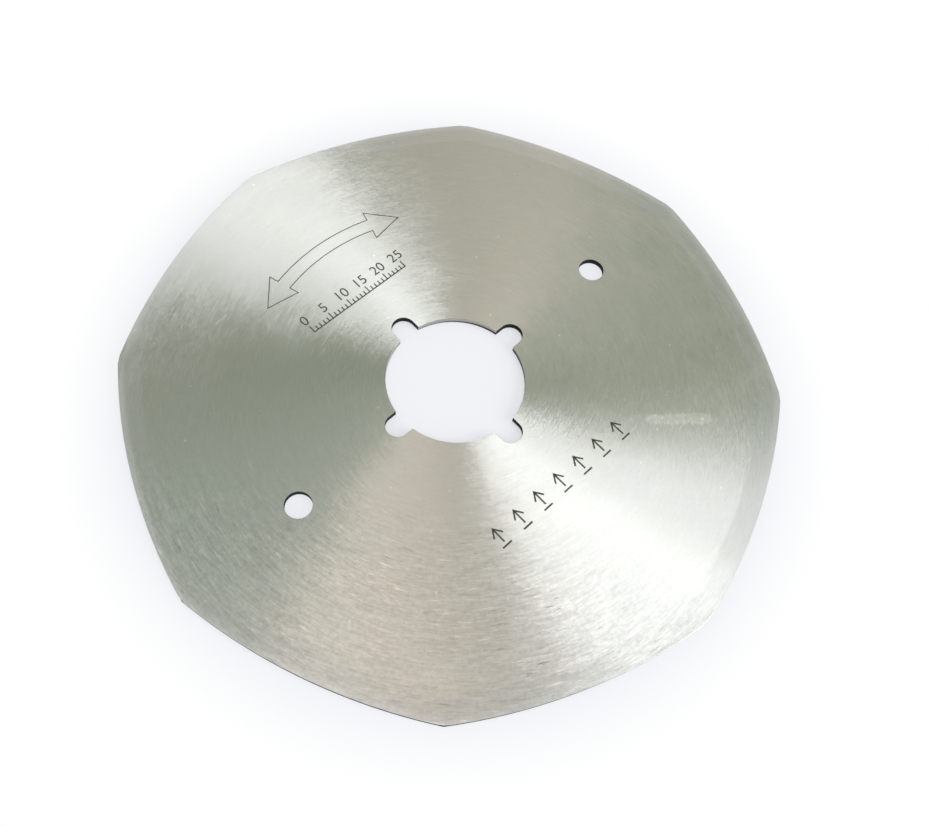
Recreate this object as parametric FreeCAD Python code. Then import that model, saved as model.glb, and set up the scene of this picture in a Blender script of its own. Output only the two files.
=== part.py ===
import FreeCAD, Part
import math
import os

# Rotary cutter blade: one thin disc of hardened steel whose rim is ground into eight shallow
# curved cutting sides. The upper face is flat right out to the cutting edge and carries the
# marks. The bevel that makes the edge is on the underside alone, so the edge lies in the plane
# of the upper face.
#
# The origin is the centre of the bore on the underside. +Z is the axis that the blade turns
# about and points out of the marked face. +X points along one of the blade's corners, through
# the two pin holes. All sizes are in millimetres.

# The disc that the blade is ground from. Its diameter is left at the eight corners.
blade_diameter = 135.0
thickness = 1.4

# Each cutting side is an arc, with a radius much larger than the disc's.
side_count = 8
side_radius = 116.0
side_crown_distance = 65.45

# The bevel, measured in from the cutting edge, and the thin flat that honing leaves on the edge.
bevel_width = 4.5
edge_land = 0.05

# The bore that locates the blade, and the keyways that turn it.
bore_diameter = 28.6
keyway_count = 4
keyway_width = 5.0
keyway_reach = 18.35

# The pin holes, on the line through two opposite corners.
pin_hole_count = 2
pin_hole_diameter = 5.4
pin_circle_diameter = 81.7

# A cutting tool runs past both faces by this much.
cut_margin = 1.0

UP = FreeCAD.Vector(0, 0, 1)


def around(radius, angle, height=0.0):
    """The point at a radius and an angle in degrees about the blade's axis."""
    turn = math.radians(angle)
    return FreeCAD.Vector(radius * math.cos(turn), radius * math.sin(turn), height)


def ground_disc(rim_radius):
    """A disc with a flat top, a thin upright land at its rim, and a bevel below the land."""
    land_bottom = thickness - edge_land
    profile = Part.makePolygon([
        FreeCAD.Vector(0, 0, 0),
        FreeCAD.Vector(rim_radius - bevel_width, 0, 0),
        FreeCAD.Vector(rim_radius, 0, land_bottom),
        FreeCAD.Vector(rim_radius, 0, thickness),
        FreeCAD.Vector(0, 0, thickness),
        FreeCAD.Vector(0, 0, 0),
    ])
    return Part.Face(profile).revolve(FreeCAD.Vector(0, 0, 0), UP, 360)


def sided_blank():
    """The bevelled disc, with each cutting side ground to its own arc between two corners."""
    blank = ground_disc(blade_diameter / 2)
    side_angle = 360 / side_count
    centre_offset = side_radius - side_crown_distance
    for side in range(side_count):
        middle = (side + 0.5) * side_angle
        swept = ground_disc(side_radius)
        swept.translate(around(-centre_offset, middle))
        blank = blank.common(swept)
    return blank


def through_cylinder(diameter, centre):
    """A round cutter through both faces, with its axis upright at the given centre."""
    foot = FreeCAD.Vector(centre.x, centre.y, -cut_margin)
    return Part.makeCylinder(diameter / 2, thickness + 2 * cut_margin, foot, UP)


def keyway_cutter(angle):
    """A keyway from the bore's centre out to its rounded end."""
    end_centre = keyway_reach - keyway_width / 2
    slot = Part.makeBox(end_centre, keyway_width, thickness + 2 * cut_margin,
                        FreeCAD.Vector(0, -keyway_width / 2, -cut_margin))
    slot.rotate(FreeCAD.Vector(0, 0, 0), UP, angle)
    return slot.fuse(through_cylinder(keyway_width, around(end_centre, angle)))


def drive_opening():
    """The bore and its keyways, as one cutter. The first keyway lies along +X."""
    opening = through_cylinder(bore_diameter, FreeCAD.Vector(0, 0, 0))
    for key in range(keyway_count):
        opening = opening.fuse(keyway_cutter(key * 360 / keyway_count))
    return opening.removeSplitter()


def pin_holes():
    """The cutters for the pin holes, evenly spaced round their circle from +X."""
    holes = []
    for pin in range(pin_hole_count):
        centre = around(pin_circle_diameter / 2, pin * 360 / pin_hole_count)
        holes.append(through_cylinder(pin_hole_diameter, centre))
    return holes


blade = sided_blank().cut(drive_opening())
for hole in pin_holes():
    blade = blade.cut(hole)

os.makedirs("parts", exist_ok=True)
blade.exportStep("parts/blade.step")

print("valid", blade.isValid(), "solids", len(blade.Solids), "faces", len(blade.Faces))
print("volume", round(blade.Volume, 2), "box", blade.BoundBox)
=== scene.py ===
import math

import bmesh
import bpy
from mathutils import Matrix, Vector


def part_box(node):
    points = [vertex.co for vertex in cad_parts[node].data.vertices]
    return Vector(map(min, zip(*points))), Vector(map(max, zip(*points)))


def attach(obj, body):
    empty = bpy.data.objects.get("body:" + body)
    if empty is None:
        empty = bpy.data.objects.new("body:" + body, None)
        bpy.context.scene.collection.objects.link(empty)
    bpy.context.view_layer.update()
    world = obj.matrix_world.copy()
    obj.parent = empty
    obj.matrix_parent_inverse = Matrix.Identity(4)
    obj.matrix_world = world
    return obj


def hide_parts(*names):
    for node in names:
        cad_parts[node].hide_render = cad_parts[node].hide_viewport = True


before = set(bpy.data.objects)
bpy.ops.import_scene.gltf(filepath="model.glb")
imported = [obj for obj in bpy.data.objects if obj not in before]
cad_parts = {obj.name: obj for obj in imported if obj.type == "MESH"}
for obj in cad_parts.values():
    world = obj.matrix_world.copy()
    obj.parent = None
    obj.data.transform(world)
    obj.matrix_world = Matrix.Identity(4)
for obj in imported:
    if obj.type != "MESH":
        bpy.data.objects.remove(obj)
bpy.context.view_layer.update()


# The blade is one disc of hardened tool steel, blanked with its bore, keyways and pin holes. Both
# faces are ground on a turning table, so the grooves run round the bore. The underside is then
# bevelled to the cutting edge, and a stone takes the burr off every rim.

# Sizes are in millimetres, and MM turns them into Blender's metres.
MM = 0.001
blade_radius = 67.5
side_angle = 45.0
side_radius = 116.0
side_crown = 65.45
bore_radius = 14.3
rim_break = 0.04
edge_break = 0.07
edge_break_drop = 0.03
# Every hole lies within this distance of the centre, and the bevel and the edge lie beyond it.
hole_zone = 50.0
# A sliver of the top that lies this close to the circle through the corners belongs to the edge.
edge_zone = 3.0


def linear(hex_colour):
    """An sRGB colour, written #rrggbb, as linear red, green, blue and alpha."""
    parts = [int(hex_colour[i:i + 2], 16) / 255 for i in (1, 3, 5)]
    return [p / 12.92 if p <= 0.04045 else ((p + 0.055) / 1.055) ** 2.4 for p in parts] + [1.0]


def add(tree, kind, settings=None, inputs=None):
    """Adds a node, sets its properties, and sets or links each input that is named or numbered."""
    node = tree.nodes.new(kind)
    for name, value in (settings or {}).items():
        setattr(node, name, value)
    for name, value in (inputs or {}).items():
        if isinstance(value, bpy.types.NodeSocket):
            tree.links.new(value, node.inputs[name])
        else:
            node.inputs[name].default_value = value
    return node


def bare_material(name):
    """A material with an empty node tree, and that tree."""
    material = bpy.data.materials.new(name)
    material.use_nodes = True
    material.node_tree.nodes.clear()
    return material, material.node_tree


def edge_distance(tree, x, y, radius):
    """How far a point of the face lies inside the cutting edge, in mm."""
    half_side = math.radians(side_angle / 2)
    angle = add(tree, "ShaderNodeMath", {"operation": "ARCTAN2"}, {0: y, 1: x}).outputs[0]
    from_corner = add(tree, "ShaderNodeMath", {"operation": "PINGPONG"}, {
        0: angle, 1: half_side}).outputs[0]
    from_middle = add(tree, "ShaderNodeMath", {"operation": "SUBTRACT"}, {
        0: half_side, 1: from_corner}).outputs[0]
    cosine = add(tree, "ShaderNodeMath", {"operation": "COSINE"}, {0: from_middle}).outputs[0]
    # The side's arc is struck from a point behind the blade's centre, at the far end of this line.
    behind = side_radius - side_crown
    squared = add(tree, "ShaderNodeMath", {"operation": "MULTIPLY_ADD"}, {
        0: radius, 1: radius, 2: behind ** 2}).outputs[0]
    cross = add(tree, "ShaderNodeMath", {"operation": "MULTIPLY"}, {
        0: radius, 1: cosine}).outputs[0]
    squared = add(tree, "ShaderNodeMath", {"operation": "MULTIPLY_ADD"}, {
        0: cross, 1: 2 * behind, 2: squared}).outputs[0]
    reach = add(tree, "ShaderNodeMath", {"operation": "SQRT"}, {0: squared}).outputs[0]
    return add(tree, "ShaderNodeMath", {"operation": "SUBTRACT"}, {
        0: side_radius, 1: reach}).outputs[0]


def streaks(tree, flat, radius, length, width, shift):
    """Noise drawn out round the bore, in streaks about this long and this wide, in mm."""
    along = add(tree, "ShaderNodeVectorMath", {"operation": "MULTIPLY_ADD"}, {
        0: flat, 1: (1 / length, 1 / length, 0), 2: (shift, 0, 0)}).outputs[0]
    across = add(tree, "ShaderNodeMath", {"operation": "DIVIDE"}, {0: radius, 1: width}).outputs[0]
    across = add(tree, "ShaderNodeCombineXYZ", None, {2: across}).outputs[0]
    place = add(tree, "ShaderNodeVectorMath", {"operation": "ADD"}, {
        0: along, 1: across}).outputs[0]
    return add(tree, "ShaderNodeTexNoise", {"noise_dimensions": "3D"}, {
        "Vector": place, "Scale": 1.0, "Detail": 2.0, "Roughness": 0.55}).outputs["Fac"]


def rub_mark(tree, flat, start, end, width, fray=0.0):
    """A soft-sided mark between two places on the face, in mm: 1 along its middle, 0 beside it.

    The fray, a number or a noise in mm, is how far its sides are drawn in.
    """
    line = Vector(end) - Vector(start)
    along = (*line.normalized(), 0)
    offset = add(tree, "ShaderNodeVectorMath", {"operation": "SUBTRACT"}, {
        0: flat, 1: (*start, 0)}).outputs[0]
    reach = add(tree, "ShaderNodeVectorMath", {"operation": "DOT_PRODUCT"}, {
        0: offset, 1: along}).outputs["Value"]
    reach = add(tree, "ShaderNodeClamp", None, {"Value": reach, "Max": line.length}).outputs[0]
    nearest = add(tree, "ShaderNodeVectorMath", {"operation": "SCALE"}, {
        0: along, "Scale": reach}).outputs[0]
    beside = add(tree, "ShaderNodeVectorMath", {"operation": "DISTANCE"}, {
        0: offset, 1: nearest}).outputs["Value"]
    beside = add(tree, "ShaderNodeMath", {"operation": "ADD"}, {0: beside, 1: fray}).outputs[0]
    return add(tree, "ShaderNodeMapRange", {"interpolation_type": "SMOOTHSTEP"}, {
        "Value": beside, "From Min": width / 2, "From Max": width / 4}).outputs[0]


def ground_tool_steel():
    """Tool steel, ground: fine grooves round the bore, which spread each lamp into a pair of fans."""
    material, tree = bare_material("ground_tool_steel")
    place = add(tree, "ShaderNodeTexCoord").outputs["Object"]
    flat = add(tree, "ShaderNodeVectorMath", {"operation": "MULTIPLY"}, {
        0: place, 1: (1 / MM, 1 / MM, 0)}).outputs[0]
    radius = add(tree, "ShaderNodeVectorMath", {"operation": "LENGTH"}, {
        0: flat}).outputs["Value"]
    outward = add(tree, "ShaderNodeVectorMath", {"operation": "NORMALIZE"}, {0: flat}).outputs[0]
    x, y, _ = add(tree, "ShaderNodeSeparateXYZ", None, {0: flat}).outputs

    # The real grooves are a few hundredths of a millimetre wide. These are as wide as the picture
    # can show: fine ones all over, longer bands, and scattered nicks and bright scores.
    fine = streaks(tree, flat, radius, length=3.0, width=0.42, shift=0.0)
    band = streaks(tree, flat, radius, length=9.0, width=1.4, shift=31.0)
    mark = streaks(tree, flat, radius, length=3.6, width=0.4, shift=57.0)
    grain = add(tree, "ShaderNodeTexNoise", {"noise_dimensions": "2D"}, {
        "Vector": flat, "Scale": 1.1, "Detail": 3.0, "Roughness": 0.75}).outputs["Fac"]
    patch = add(tree, "ShaderNodeTexNoise", {"noise_dimensions": "2D"}, {
        "Vector": flat, "Scale": 0.09, "Detail": 3.0, "Roughness": 0.6}).outputs["Fac"]
    score = add(tree, "ShaderNodeMapRange", None, {
        "Value": mark, "From Min": 0.6, "From Max": 0.74}).outputs[0]
    nick = add(tree, "ShaderNodeMapRange", None, {
        "Value": mark, "From Min": 0.36, "From Max": 0.24}).outputs[0]
    marked = add(tree, "ShaderNodeMath", {"operation": "SUBTRACT"}, {
        0: score, 1: nick}).outputs[0]
    worn = add(tree, "ShaderNodeMapRange", {"interpolation_type": "SMOOTHSTEP"}, {
        "Value": patch, "From Min": 0.42, "From Max": 0.62, "To Min": 0.3, "To Max": 1.0}).outputs[0]
    marked = add(tree, "ShaderNodeMath", {"operation": "MULTIPLY"}, {
        0: marked, 1: worn}).outputs[0]

    # The grain, bands, nicks and scores are the face's own, but their strength is painted light and
    # shade of the grooves: in full towards one side of the face, and a fifth as strongly on the rest.
    groove_shading_azimuth = math.radians(215)
    groove_shading_start = 23.0
    groove_shading_full = 44.0
    elsewhere = 0.2
    groove_shading = add(tree, "ShaderNodeVectorMath", {"operation": "DOT_PRODUCT"}, {
        0: flat, 1: (math.cos(groove_shading_azimuth), math.sin(groove_shading_azimuth), 0)}).outputs["Value"]
    groove_shading = add(tree, "ShaderNodeMapRange", {"interpolation_type": "SMOOTHSTEP"}, {
        "Value": groove_shading, "From Min": groove_shading_start, "From Max": groove_shading_full,
        "To Min": elsewhere, "To Max": 1.0}).outputs[0]
    marked = add(tree, "ShaderNodeMath", {"operation": "MULTIPLY"}, {
        0: marked, 1: groove_shading}).outputs[0]
    grain_weight = 0.9
    band_weight = 0.6
    mean = (1.0 + grain_weight + band_weight) / 2
    coarse = add(tree, "ShaderNodeMath", {"operation": "MULTIPLY_ADD"}, {
        0: grain, 1: grain_weight, 2: fine}).outputs[0]
    coarse = add(tree, "ShaderNodeMath", {"operation": "MULTIPLY_ADD"}, {
        0: band, 1: band_weight, 2: coarse}).outputs[0]
    coarse = add(tree, "ShaderNodeMath", {"operation": "SUBTRACT"}, {
        0: coarse, 1: mean}).outputs[0]
    coarse = add(tree, "ShaderNodeMath", {"operation": "MULTIPLY"}, {
        0: coarse, 1: groove_shading}).outputs[0]

    # The grooves leave the circle by 11 degrees at the bore, and by 2.4 the other way at the rim.
    # Each strays from its neighbours, a quarter more near the bore, which frays the fans' sides.
    lay_at_bore = math.radians(11.0)
    lay_at_rim = math.radians(-2.4)
    even_radius = 36.0
    lay = add(tree, "ShaderNodeMapRange", {"clamp": False}, {
        "Value": radius, "From Min": bore_radius, "From Max": blade_radius,
        "To Min": lay_at_bore, "To Max": lay_at_rim}).outputs[0]
    stray = 0.0
    for noise, swing in ((fine, 8.0), (grain, 10.5), (band, 6.5), (patch, 9.0)):
        centred = add(tree, "ShaderNodeMath", {"operation": "SUBTRACT"}, {
            0: noise, 1: 0.5}).outputs[0]
        stray = add(tree, "ShaderNodeMath", {"operation": "MULTIPLY_ADD"}, {
            0: centred, 1: math.radians(swing), 2: stray}).outputs[0]
    wildness = add(tree, "ShaderNodeMapRange", None, {
        "Value": radius, "From Min": bore_radius, "From Max": even_radius,
        "To Min": 1.25, "To Max": 1.0}).outputs[0]
    lay = add(tree, "ShaderNodeMath", {"operation": "MULTIPLY_ADD"}, {
        0: stray, 1: wildness, 2: lay}).outputs[0]
    across = add(tree, "ShaderNodeVectorRotate", {"rotation_type": "Z_AXIS"}, {
        "Vector": outward, "Angle": lay}).outputs[0]
    tangent = add(tree, "ShaderNodeVectorTransform", {
        "vector_type": "VECTOR", "convert_from": "OBJECT", "convert_to": "WORLD"}, {
        0: across}).outputs[0]
    height = add(tree, "ShaderNodeMath", {"operation": "MULTIPLY_ADD"}, {
        0: marked, 1: 0.5, 2: fine}).outputs[0]
    bump = add(tree, "ShaderNodeBump", None, {
        "Strength": 1.0, "Distance": 0.03 * MM, "Height": height}).outputs[0]

    # Honing leaves a duller, paler band along the cutting edge, 4.4 mm wide. Its outer part, where
    # the edge is lapped, is paler still.
    inside = edge_distance(tree, x, y, radius)
    honed = add(tree, "ShaderNodeMapRange", {"interpolation_type": "SMOOTHSTEP"}, {
        "Value": inside, "From Min": 4.8, "From Max": 4.0}).outputs[0]
    lapped = add(tree, "ShaderNodeMapRange", {"interpolation_type": "SMOOTHSTEP"}, {
        "Value": inside, "From Min": 1.8, "From Max": 0.4}).outputs[0]
    roughness = add(tree, "ShaderNodeMath", {"operation": "MULTIPLY_ADD"}, {
        0: honed, 1: 0.045, 2: 0.325}).outputs[0]
    metallic = 1.0
    for zone, loss in ((honed, 0.08), (lapped, 0.26)):
        metallic = add(tree, "ShaderNodeMath", {"operation": "MULTIPLY_ADD"}, {
            0: zone, 1: -loss, 2: metallic}).outputs[0]

    # Handling has left a dry, ragged smear with a few crumbs beside it, a short scratch, and
    # grains of dust, one or none to each of the cells that share out the face.
    smear_ends = ((23.6, -33.1), (32.1, -40.6))
    smear_width = 3.1
    scratch_ends = ((-28.3, 41.8), (-25.5, 42.2))
    scratch_width = 0.45
    crumbs = ((23.2, -32.6), (25.3, -34.3), (22.7, -35.3), (31.6, -40.1), (30.0, -31.4))
    crumb_radius = 0.26
    dust_spacing = 8.0
    largest_dust = 0.036
    blotch = add(tree, "ShaderNodeMapRange", None, {
        "Value": grain, "From Min": 0.34, "From Max": 0.62, "To Min": 0.55}).outputs[0]
    ragged = add(tree, "ShaderNodeMapRange", {"clamp": False}, {
        "Value": grain, "From Min": 0.5, "From Max": 0.0, "To Min": 0.0, "To Max": 0.8}).outputs[0]
    smear = rub_mark(tree, flat, *smear_ends, smear_width, ragged)
    smear = add(tree, "ShaderNodeMath", {"operation": "MULTIPLY"}, {
        0: smear, 1: blotch}).outputs[0]
    scratch = rub_mark(tree, flat, *scratch_ends, scratch_width)
    cell = add(tree, "ShaderNodeTexVoronoi", {"voronoi_dimensions": "2D"}, {
        "Vector": flat, "Scale": 1 / dust_spacing, "Randomness": 1.0}).outputs
    picked = add(tree, "ShaderNodeSeparateColor", None, {0: cell["Color"]}).outputs[0]
    size = add(tree, "ShaderNodeMapRange", None, {
        "Value": picked, "From Min": 0.5, "From Max": 1.0,
        "To Min": 0.0, "To Max": largest_dust}).outputs[0]
    speck = add(tree, "ShaderNodeMath", {"operation": "LESS_THAN"}, {
        0: cell["Distance"], 1: size}).outputs[0]
    for crumb in crumbs:
        reach = add(tree, "ShaderNodeVectorMath", {"operation": "DISTANCE"}, {
            0: flat, 1: (*crumb, 0)}).outputs["Value"]
        dot = add(tree, "ShaderNodeMath", {"operation": "LESS_THAN"}, {
            0: reach, 1: crumb_radius}).outputs[0]
        speck = add(tree, "ShaderNodeMath", {"operation": "MAXIMUM"}, {
            0: speck, 1: dot}).outputs[0]

    tint = add(tree, "ShaderNodeMix", {"data_type": "RGBA"}, {
        0: patch, 6: linear("#c7c8c6"), 7: linear("#ccc9c5")}).outputs[2]
    shade = 1.0
    for mask, paler in ((coarse, 0.48), (marked, 0.4), (honed, 0.03), (lapped, 0.03),
                        (smear, 0.27), (scratch, 0.3), (speck, 0.22)):
        shade = add(tree, "ShaderNodeMath", {"operation": "MULTIPLY_ADD"}, {
            0: mask, 1: paler, 2: shade}).outputs[0]
    colour = add(tree, "ShaderNodeVectorMath", {"operation": "SCALE"}, {
        0: tint, "Scale": shade}).outputs[0]
    steel = add(tree, "ShaderNodeBsdfPrincipled", None, {
        "Base Color": colour, "Metallic": metallic, "Roughness": roughness, "Anisotropic": 1.0,
        "Tangent": tangent, "Normal": bump}).outputs[0]
    add(tree, "ShaderNodeOutputMaterial", None, {"Surface": steel})
    return material


def honed_tool_steel():
    """The same steel, honed on a fine stone: smoother than the faces, with no lay that shows."""
    material, tree = bare_material("honed_tool_steel")
    stone_grain = 0.5 * MM
    place = add(tree, "ShaderNodeTexCoord").outputs["Object"]
    grain = add(tree, "ShaderNodeTexNoise", None, {
        "Vector": place, "Scale": 1 / stone_grain, "Detail": 2.0}).outputs["Fac"]
    roughness = add(tree, "ShaderNodeMapRange", None, {
        "Value": grain, "To Min": 0.24, "To Max": 0.36}).outputs[0]
    steel = add(tree, "ShaderNodeBsdfPrincipled", None, {
        "Base Color": linear("#c8c8c5"), "Metallic": 1.0, "Roughness": roughness}).outputs[0]
    add(tree, "ShaderNodeOutputMaterial", None, {"Surface": steel})
    return material


def ground_bore_steel():
    """The bore's wall: ground and pale, down to a dark foot, the torn zone from blanking deepened with
    painted shade.
    """
    material, tree = bare_material("ground_bore_steel")
    place = add(tree, "ShaderNodeTexCoord").outputs["Object"]
    # The dark foot's top leans by this slope, so it reaches higher up the wall on this side: painted
    # shade.
    shaded_side = math.radians(-52)
    shade_lean = 0.042
    torn_and_shade_height = 0.35 * MM
    ground_height = 0.7 * MM
    height = add(tree, "ShaderNodeVectorMath", {"operation": "DOT_PRODUCT"}, {
        0: place, 1: (-shade_lean * math.cos(shaded_side), -shade_lean * math.sin(shaded_side), 1.0)}).outputs["Value"]
    ground = add(tree, "ShaderNodeMapRange", {"interpolation_type": "SMOOTHSTEP"}, {
        "Value": height, "From Min": torn_and_shade_height, "From Max": ground_height}).outputs[0]
    # Below the ground zone the wall is painted near black: the torn zone, deepened with painted shade.
    colour = add(tree, "ShaderNodeMix", {"data_type": "RGBA"}, {
        0: ground, 6: linear("#2e2d2b"), 7: linear("#adaca6")}).outputs[2]
    steel = add(tree, "ShaderNodeBsdfPrincipled", None, {
        "Base Color": colour, "Metallic": 1.0, "Roughness": 0.42}).outputs[0]
    add(tree, "ShaderNodeOutputMaterial", None, {"Surface": steel})
    return material


def hardening_scale():
    """The keyways and pin holes keep the black scale that hardening left on their blanked walls."""
    material, tree = bare_material("hardening_scale")
    flake = 0.8 * MM
    place = add(tree, "ShaderNodeTexCoord").outputs["Object"]
    grain = add(tree, "ShaderNodeTexNoise", None, {
        "Vector": place, "Scale": 1 / flake, "Detail": 2.0}).outputs["Fac"]
    colour = add(tree, "ShaderNodeMix", {"data_type": "RGBA"}, {
        0: grain, 6: linear("#0b0b0b"), 7: linear("#1b1a19")}).outputs[2]
    scale = add(tree, "ShaderNodeBsdfPrincipled", None, {
        "Base Color": colour, "Roughness": 0.7, "Specular IOR Level": 0.2}).outputs[0]
    add(tree, "ShaderNodeOutputMaterial", None, {"Surface": scale})
    return material


def blade_mesh():
    """The CAD solid with its triangles joined, its rims broken and each surface's material set."""
    tolerance = 0.001 * MM
    flat_angle = math.radians(0.02)
    rim_angle = math.radians(60)
    smooth_angle = math.radians(12)
    level = 0.99
    wall_tolerance = 0.1 * MM
    shape = bmesh.new()
    shape.from_mesh(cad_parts["blade"].data)
    bmesh.ops.remove_doubles(shape, verts=shape.verts, dist=tolerance)
    bmesh.ops.dissolve_limit(shape, angle_limit=flat_angle, verts=shape.verts, edges=shape.edges)
    hole_rims = [e for e in shape.edges
                 if e.calc_face_angle(0) > rim_angle
                 and all(v.co.to_2d().length < hole_zone * MM for v in e.verts)
                 and abs(e.verts[0].co.z - e.verts[1].co.z) < tolerance]
    bmesh.ops.bevel(shape, geom=hole_rims, offset=rim_break * MM, segments=1, affect="EDGES")
    # The land on the cutting edge leans in, as a stone that takes off the burr leaves it.
    top = max(v.co.z for v in shape.verts)
    for vert in shape.verts:
        reach = vert.co.to_2d().length
        if reach < hole_zone * MM or vert.co.z < top / 2:
            continue
        if vert.co.z > top - tolerance:
            vert.co.xy *= 1 - edge_break * MM / reach
        else:
            vert.co.z -= edge_break_drop * MM
    # The slots are the two faces, the bevel with the edge, the bore, and the keyways and pin holes.
    for face in shape.faces:
        reach = face.calc_center_median().to_2d().length
        face.smooth = True
        if abs(face.normal.z) > level and reach < (blade_radius - edge_zone) * MM:
            face.material_index = 0
        elif reach > hole_zone * MM:
            face.material_index = 1
        elif abs(reach - bore_radius * MM) < wall_tolerance:
            face.material_index = 2
        else:
            face.material_index = 3
    mesh = bpy.data.meshes.new("blade_steel")
    shape.to_mesh(mesh)
    shape.free()
    mesh.set_sharp_from_angle(angle=smooth_angle)
    return mesh


blade = bpy.data.objects.new("blade_steel", blade_mesh())
bpy.context.collection.objects.link(blade)
for material in (ground_tool_steel(), honed_tool_steel(), ground_bore_steel(), hardening_scale()):
    blade.data.materials.append(material)
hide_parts("blade")
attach(blade, "root")


# The marks on the upper face are etched by a current through a stencil, which leaves each line as
# a dull dark film of oxide. They are an arc, a plain scale of millimetres and a row of arrows, and
# are drawn with three weights of line.
mark_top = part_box("blade")[1].z + 0.008 * MM
mark_foot = mark_top - 0.02 * MM
hair_line = 0.2
thin_line = 0.28
bold_line = 0.36


def etched_oxide():
    """Etched steel: a dark, dull oxide film, paler where the current was weak."""
    material, tree = bare_material("etched_oxide")
    cloud = 0.9 * MM
    place = add(tree, "ShaderNodeTexCoord").outputs["Object"]
    strength = add(tree, "ShaderNodeTexNoise", None, {
        "Vector": place, "Scale": 1 / cloud, "Detail": 3.0, "Roughness": 0.6}).outputs["Fac"]
    colour = add(tree, "ShaderNodeMix", {"data_type": "RGBA"}, {
        0: strength, 6: linear("#2c2d28"), 7: linear("#64655a")}).outputs[2]
    film = add(tree, "ShaderNodeBsdfPrincipled", None, {
        "Base Color": colour, "Roughness": 0.55, "Specular IOR Level": 0.3}).outputs[0]
    add(tree, "ShaderNodeOutputMaterial", None, {"Surface": film})
    return material


def draw_line(shape, points, width, closed=False):
    """Adds one line of a mark: a thin bar along these points, in mm, with mitred corners."""
    rows = []
    for i, point in enumerate(points):
        starts = i == 0 and not closed
        ends = i + 1 == len(points) and not closed
        arriving = None if starts else (point - points[i - 1]).normalized()
        leaving = None if ends else (points[(i + 1) % len(points)] - point).normalized()
        arriving = arriving or leaving
        leaving = leaving or arriving
        along = (arriving + leaving).normalized()
        side = Vector((-along.y, along.x)) * (width / 2 / along.dot(leaving))
        left = (point + side) * MM
        right = (point - side) * MM
        rows.append([shape.verts.new((*left, mark_foot)), shape.verts.new((*left, mark_top)),
                     shape.verts.new((*right, mark_top)), shape.verts.new((*right, mark_foot))])
    for a, b in zip(rows, rows[1:] + (rows[:1] if closed else [])):
        for k in range(4):
            shape.faces.new((a[k], a[k - 1], b[k - 1], b[k]))
    if not closed:
        shape.faces.new(rows[0])
        shape.faces.new(rows[-1])


def mark_object(name, shape, material):
    """Turns the drawn lines into an object whose faces point outwards."""
    bmesh.ops.recalc_face_normals(shape, faces=shape.faces)
    mesh = bpy.data.meshes.new(name)
    shape.to_mesh(mesh)
    shape.free()
    mesh.materials.append(material)
    mark = bpy.data.objects.new(name, mesh)
    bpy.context.collection.objects.link(mark)
    return mark


oxide = etched_oxide()


# The arc is an outline with an arrow head at each end, etched above the scale. It is struck from
# the middle of the bore.
arc_radius = 42.0
arc_half_width = 1.5
arc_head_half_width = 3.6
arc_half_angle = 25.5
arc_head_angle = 9.0


def on_arc(radius, angle):
    """A point on a circle about the bore, with its angle in degrees clockwise from +Y."""
    return Vector((radius * math.sin(math.radians(angle)), radius * math.cos(math.radians(angle))))


def arc(radius, start, end, step=1.5):
    """Points along a circle about the bore from one angle to another."""
    count = max(1, round(abs(end - start) / step))
    return [on_arc(radius, start + (end - start) * i / count) for i in range(count + 1)]


neck = arc_half_angle - arc_head_angle
right_head = [on_arc(arc_radius + arc_head_half_width, neck), on_arc(arc_radius, arc_half_angle),
              on_arc(arc_radius - arc_head_half_width, neck)]
left_head = [on_arc(arc_radius - arc_head_half_width, -neck), on_arc(arc_radius, -arc_half_angle),
             on_arc(arc_radius + arc_head_half_width, -neck)]
outline = (arc(arc_radius + arc_half_width, -neck, neck) + right_head
           + arc(arc_radius - arc_half_width, neck, -neck) + left_head)
shape = bmesh.new()
draw_line(shape, outline, hair_line, closed=True)
rotation_arc = mark_object("rotation_arc", shape, oxide)
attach(rotation_arc, "root")


# The scale is etched above the bore: a base line with a tick at each millimetre, a longer one at
# each fifth, and plain numerals over the long ones.
scale_count = 25
scale_long_every = 5
scale_start = Vector((-14.4, 27.2))
scale_tick = 1.7
scale_short_share = 0.6
numeral_height = 2.3
numeral_gap = 0.6
# A numeral's height is this share of its font's size.
numeral_height_share = 0.7


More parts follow.
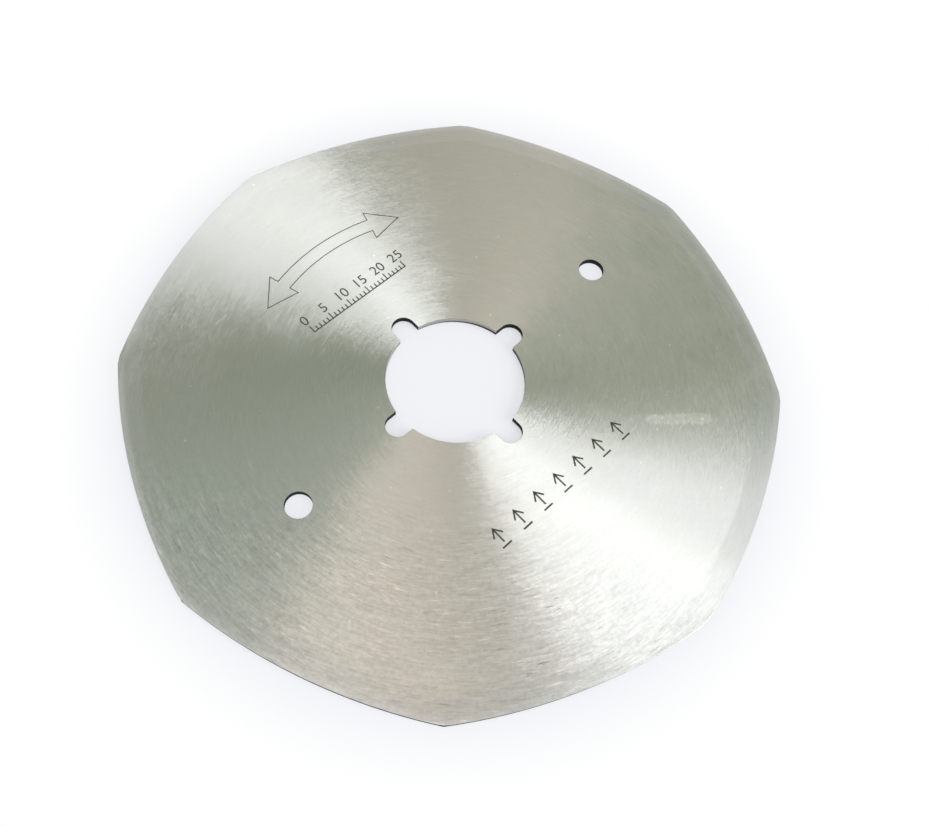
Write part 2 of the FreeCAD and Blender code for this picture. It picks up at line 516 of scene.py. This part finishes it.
def row_of_marks():
    """Geometry Nodes: copies of a drawn mark in a row along +X, with all but every few shortened."""
    tree = bpy.data.node_groups.new("row_of_marks", "GeometryNodeTree")
    for name, kind in (("Mark", "NodeSocketGeometry"), ("Count", "NodeSocketInt"),
                       ("Pitch", "NodeSocketFloat"), ("Start", "NodeSocketVector"),
                       ("Long Every", "NodeSocketInt"), ("Short Share", "NodeSocketFloat"),
                       ("Finish", "NodeSocketMaterial")):
        tree.interface.new_socket(name, in_out="INPUT", socket_type=kind)
    tree.interface.new_socket("Row", in_out="OUTPUT", socket_type="NodeSocketGeometry")
    given = add(tree, "NodeGroupInput").outputs
    step = add(tree, "ShaderNodeCombineXYZ", None, {0: given["Pitch"]}).outputs[0]
    line = add(tree, "GeometryNodeMeshLine", {"mode": "OFFSET"}, {
        "Count": given["Count"], "Start Location": given["Start"], "Offset": step}).outputs[0]
    number = add(tree, "GeometryNodeInputIndex").outputs[0]
    left_over = add(tree, "ShaderNodeMath", {"operation": "MODULO"}, {
        0: number, 1: given["Long Every"]}).outputs[0]
    is_short = add(tree, "ShaderNodeMath", {"operation": "GREATER_THAN"}, {
        0: left_over, 1: 0.5}).outputs[0]
    share = add(tree, "ShaderNodeMapRange", None, {
        "Value": is_short, "To Min": 1.0, "To Max": given["Short Share"]}).outputs[0]
    size = add(tree, "ShaderNodeCombineXYZ", None, {0: 1.0, 1: share, 2: 1.0}).outputs[0]
    placed = add(tree, "GeometryNodeInstanceOnPoints", None, {
        "Points": line, "Instance": given["Mark"], "Scale": size}).outputs[0]
    real = add(tree, "GeometryNodeRealizeInstances", None, {"Geometry": placed}).outputs[0]
    finished = add(tree, "GeometryNodeSetMaterial", None, {
        "Geometry": real, "Material": given["Finish"]}).outputs[0]
    add(tree, "NodeGroupOutput", None, {0: finished})
    return tree


def lay_row(mark, tree, sizes):
    """Runs the row's nodes on a drawn mark and keeps the result as the mark's own plain mesh."""
    modifier = mark.modifiers.new("row", "NODES")
    modifier.node_group = tree
    for socket in tree.interface.items_tree:
        if socket.in_out == "INPUT" and socket.name in sizes:
            modifier[socket.identifier] = sizes[socket.name]
    seen = mark.evaluated_get(bpy.context.evaluated_depsgraph_get())
    mesh = bpy.data.meshes.new_from_object(seen)
    mark.modifiers.remove(modifier)
    mark.data = mesh


row_tree = row_of_marks()
shape = bmesh.new()
draw_line(shape, [Vector((0, 0)), Vector((0, scale_tick))], thin_line)
scale_ticks = mark_object("scale_ticks", shape, oxide)
lay_row(scale_ticks, row_tree, {
    "Count": scale_count + 1, "Pitch": MM, "Start": (*(scale_start * MM), 0),
    "Long Every": scale_long_every, "Short Share": scale_short_share, "Finish": oxide})
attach(scale_ticks, "root")

shape = bmesh.new()
draw_line(shape, [scale_start - Vector((thin_line / 2, 0)),
                  scale_start + Vector((scale_count + thin_line / 2, 0))], thin_line)
for number in range(0, scale_count + 1, scale_long_every):
    numeral = bpy.data.curves.new("numeral", "FONT")
    numeral.body = str(number)
    numeral.align_x = "CENTER"
    numeral.size = numeral_height * MM / numeral_height_share
    numeral.extrude = (mark_top - mark_foot) / 2
    holder = bpy.data.objects.new("numeral", numeral)
    flat_mesh = bpy.data.meshes.new_from_object(holder)
    centre = scale_start + Vector((number, scale_tick + numeral_gap))
    flat_mesh.transform(Matrix.Translation((*(centre * MM), (mark_top + mark_foot) / 2)))
    shape.from_mesh(flat_mesh)
    bpy.data.objects.remove(holder)
    bpy.data.meshes.remove(flat_mesh)
bmesh.ops.remove_doubles(shape, verts=shape.verts, dist=0.0001 * MM)
scale_numerals = mark_object("scale_numerals", shape, oxide)
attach(scale_numerals, "root")


# The arrows are etched below the bore in a row. Each is an open arrow that stands over a short
# base line and points towards the scale's side of the face.
arrow_count = 7
arrow_pitch = 5.6
arrow_start = Vector((-16.9, -32.1))
arrow_foot = 0.75
arrow_height = 3.1
arrow_top = arrow_foot + arrow_height
tip_rise = 0.2
barb_reach = 1.15
barb_slope = 1.3
barb_foot = arrow_top - barb_reach * barb_slope

shape = bmesh.new()
draw_line(shape, [Vector((0, arrow_foot)), Vector((0, arrow_top))], bold_line)
draw_line(shape, [Vector((-barb_reach, barb_foot)), Vector((0, arrow_top + tip_rise)),
                  Vector((barb_reach, barb_foot))], bold_line)
draw_line(shape, [Vector((-barb_reach, 0)), Vector((barb_reach, 0))], bold_line)
up_arrows = mark_object("up_arrows", shape, oxide)
lay_row(up_arrows, row_tree, {
    "Count": arrow_count, "Pitch": arrow_pitch * MM, "Start": (*(arrow_start * MM), 0),
    "Long Every": 1, "Short Share": 1.0, "Finish": oxide})
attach(up_arrows, "root")


# A sheet of white paper lies under the blade, overexposed, so that little of the shadow is left: a
# soft shade that is deepest in the bore. A thin dark line right under the cutting edge is painted
# shade on the paper. Further out it is plain white.
paper_reach = 4000.0
# The painted shade line under the edge: its width and the width of its soft sides, in mm.
painted_shade_width = 0.3
painted_shade_side = 0.08
bore_paper = 20.0
open_paper = 35.0
white_start = 60.0
white_end = 80.0
bore_share = 0.6
open_share = 0.8


def white_paper():
    """White paper, matt: it keeps the blade's shadow, bears a painted shade line under the edge, and
    turns to plain white away from it.
    """
    material, tree = bare_material("matt_white_paper")
    place = add(tree, "ShaderNodeTexCoord").outputs["Object"]
    flat = add(tree, "ShaderNodeVectorMath", {"operation": "MULTIPLY"}, {
        0: place, 1: (1 / MM, 1 / MM, 0)}).outputs[0]
    away = add(tree, "ShaderNodeVectorMath", {"operation": "LENGTH"}, {0: flat}).outputs["Value"]
    x, y, _ = add(tree, "ShaderNodeSeparateXYZ", None, {0: flat}).outputs
    inside = edge_distance(tree, x, y, away)
    past_edge = add(tree, "ShaderNodeMapRange", None, {
        "Value": inside, "From Min": painted_shade_side, "From Max": 0.0}).outputs[0]
    far_in = add(tree, "ShaderNodeMapRange", None, {
        "Value": inside, "From Min": painted_shade_width - painted_shade_side, "From Max": painted_shade_width}).outputs[0]
    off_painted_shade = add(tree, "ShaderNodeMath", {"operation": "MAXIMUM"}, {
        0: past_edge, 1: far_in}).outputs[0]
    in_holes = add(tree, "ShaderNodeMath", {"operation": "LESS_THAN"}, {
        0: away, 1: hole_zone}).outputs[0]
    uncovered = add(tree, "ShaderNodeMath", {"operation": "MAXIMUM"}, {
        0: past_edge, 1: in_holes}).outputs[0]

    # This share of the uncovered paper is its own white, which no shadow darkens.
    fade = add(tree, "ShaderNodeMapRange", {"interpolation_type": "SMOOTHSTEP"}, {
        "Value": away, "From Min": white_start, "From Max": white_end}).outputs[0]
    share = add(tree, "ShaderNodeMapRange", None, {
        "Value": away, "From Min": bore_paper, "From Max": open_paper,
        "To Min": bore_share, "To Max": open_share}).outputs[0]
    share = add(tree, "ShaderNodeMath", {"operation": "MULTIPLY_ADD"}, {
        0: fade, 1: 1 - open_share, 2: share}).outputs[0]
    share = add(tree, "ShaderNodeMath", {"operation": "MULTIPLY"}, {
        0: share, 1: uncovered}).outputs[0]
    ray = add(tree, "ShaderNodeLightPath").outputs
    seen = add(tree, "ShaderNodeMath", {"operation": "MAXIMUM"}, {
        0: ray["Is Camera Ray"], 1: ray["Is Glossy Ray"]}).outputs[0]
    seen = add(tree, "ShaderNodeMath", {"operation": "MAXIMUM"}, {
        0: seen, 1: ray["Is Transmission Ray"]}).outputs[0]
    white_share = add(tree, "ShaderNodeMath", {"operation": "MULTIPLY"}, {
        0: share, 1: seen}).outputs[0]
    tone = add(tree, "ShaderNodeMix", {"data_type": "RGBA"}, {
        0: fade, 6: linear("#f1f3f7"), 7: linear("#ffffff")}).outputs[2]
    # The paper's colour is darkened in a thin line under the cutting edge: painted shade.
    colour = add(tree, "ShaderNodeMix", {"data_type": "RGBA"}, {
        0: off_painted_shade, 6: linear("#484849"), 7: linear("#f9f8fa")}).outputs[2]
    paper = add(tree, "ShaderNodeBsdfPrincipled", None, {
        "Base Color": colour, "Roughness": 0.9, "Specular IOR Level": 0.2}).outputs[0]
    white = add(tree, "ShaderNodeEmission", None, {"Color": tone, "Strength": 1.0}).outputs[0]
    mixed = add(tree, "ShaderNodeMixShader", None, {
        0: white_share, 1: paper, 2: white}).outputs[0]
    add(tree, "ShaderNodeOutputMaterial", None, {"Surface": mixed})
    return material


bpy.ops.mesh.primitive_circle_add(vertices=96, radius=paper_reach * MM, fill_type="NGON")
paper = bpy.context.object
paper.name = "paper_floor"
paper.data.materials.append(white_paper())


# The room has four soft lamps. Its wall is pale low down, and above that the room is dim and
# tinted, with a few darker places, which the steel shows as dark sectors between its fans.
def direction(azimuth, elevation):
    """The unit vector towards a place in the room, from degrees about the blade's own axes."""
    turn = math.radians(azimuth)
    rise = math.radians(elevation)
    return Vector((math.cos(rise) * math.cos(turn), math.cos(rise) * math.sin(turn), math.sin(rise)))


def softbox(name, azimuth, elevation, distance, width, height, colour, radiance):
    """A rectangular soft lamp that faces the blade, sized in metres, as bright as its radiance."""
    lamp = bpy.data.lights.new(name, "AREA")
    lamp.shape = "RECTANGLE"
    lamp.size = width
    lamp.size_y = height
    lamp.color = linear(colour)[:3]
    lamp.energy = radiance * 4 * width * height
    toward = direction(azimuth, elevation)
    holder = bpy.data.objects.new(name, lamp)
    holder.location = toward * distance
    holder.rotation_euler = (-toward).to_track_quat("-Z", "Y").to_euler()
    bpy.context.collection.objects.link(holder)


softbox("key_lamp", azimuth=-3.4, elevation=67, distance=1.0,
        width=0.16, height=0.34, colour="#f2f5ff", radiance=5.05)
softbox("window_lamp", azimuth=285, elevation=17.3, distance=1.2,
        width=0.87, height=0.98, colour="#fbffff", radiance=4.25)
softbox("ceiling_lamp", azimuth=204, elevation=74.3, distance=1.0,
        width=0.54, height=1.92, colour="#ffe6df", radiance=0.68)
softbox("far_lamp", azimuth=72, elevation=20.6, distance=1.5,
        width=0.60, height=1.41, colour="#f3f6ff", radiance=1.3)

world = bpy.data.worlds.new("room")
bpy.context.scene.world = world
world.use_nodes = True
tree = world.node_tree
tree.nodes.clear()
look = add(tree, "ShaderNodeTexCoord").outputs["Generated"]
look_x, look_y, look_up = add(tree, "ShaderNodeSeparateXYZ", None, {0: look}).outputs

# The tints come from -X, from -Y and from straight above.
room = (0, 0, 0)
for part, factor, offset, tint, strength in (
        (look_x, -0.5, 0.5, "#b3adff", 0.67),
        (look_y, -0.5, 0.5, "#3030ff", 0.24),
        (look_up, 1.0, 0.0, "#e5ff80", 0.53)):
    share = add(tree, "ShaderNodeMath", {"operation": "MULTIPLY_ADD", "use_clamp": True}, {
        0: part, 1: factor, 2: offset}).outputs[0]
    light = [strength * value for value in linear(tint)[:3]]
    room = add(tree, "ShaderNodeVectorMath", {"operation": "MULTIPLY_ADD"}, {
        0: share, 1: light, 2: room}).outputs[0]

# The dark places: the azimuth and elevation of each, its spread in degrees, and its depth.
for azimuth, elevation, spread, depth in (
        (92, 44, 9.2, 0.86),
        (281, 69.5, 17.0, 0.85),
        (222, 26, 16.0, 0.9)):
    cosine = add(tree, "ShaderNodeVectorMath", {"operation": "DOT_PRODUCT"}, {
        0: look, 1: direction(azimuth, elevation)}).outputs["Value"]
    steepness = 1 / math.radians(spread) ** 2
    power = add(tree, "ShaderNodeMath", {"operation": "MULTIPLY_ADD"}, {
        0: cosine, 1: steepness, 2: -steepness}).outputs[0]
    dark = add(tree, "ShaderNodeMath", {"operation": "EXPONENT"}, {0: power}).outputs[0]
    kept = add(tree, "ShaderNodeMath", {"operation": "MULTIPLY_ADD"}, {
        0: dark, 1: -depth, 2: 1.0}).outputs[0]
    room = add(tree, "ShaderNodeVectorMath", {"operation": "SCALE"}, {
        0: room, "Scale": kept}).outputs[0]

wall_top = math.sin(math.radians(8))
room_start = math.sin(math.radians(20))
above_wall = add(tree, "ShaderNodeMapRange", {"interpolation_type": "SMOOTHSTEP"}, {
    "Value": look_up, "From Min": wall_top, "From Max": room_start}).outputs[0]
colour = add(tree, "ShaderNodeMix", {"data_type": "VECTOR"}, {
    0: above_wall, 4: (1, 1, 1), 5: room}).outputs[1]
sky = add(tree, "ShaderNodeBackground", None, {"Color": colour, "Strength": 1.0}).outputs[0]
add(tree, "ShaderNodeOutputWorld", None, {"Surface": sky})


# The camera looks down on the blade from close by, on the side of the corner opposite +X. It is
# turned a little about its own line of sight, as the photo was taken.
camera_place = Vector((-69.06, -57.24, 168.2)) * MM
camera_aim = Vector((-4.04, -6.83, 1.4)) * MM
camera_roll = math.radians(9.638)
camera_data = bpy.data.cameras.new("camera")
camera_data.sensor_width = 36.0
camera_data.lens = 36.01
camera_data.clip_start = 0.01
camera_data.clip_end = 20.0
camera = bpy.data.objects.new("camera", camera_data)
bpy.context.collection.objects.link(camera)
facing = (camera_aim - camera_place).to_track_quat("-Z", "Y").to_matrix().to_4x4()
camera.matrix_world = Matrix.Translation(camera_place) @ facing @ Matrix.Rotation(camera_roll, 4, "Z")
bpy.context.scene.camera = camera
bpy.context.scene.view_settings.view_transform = "Standard"
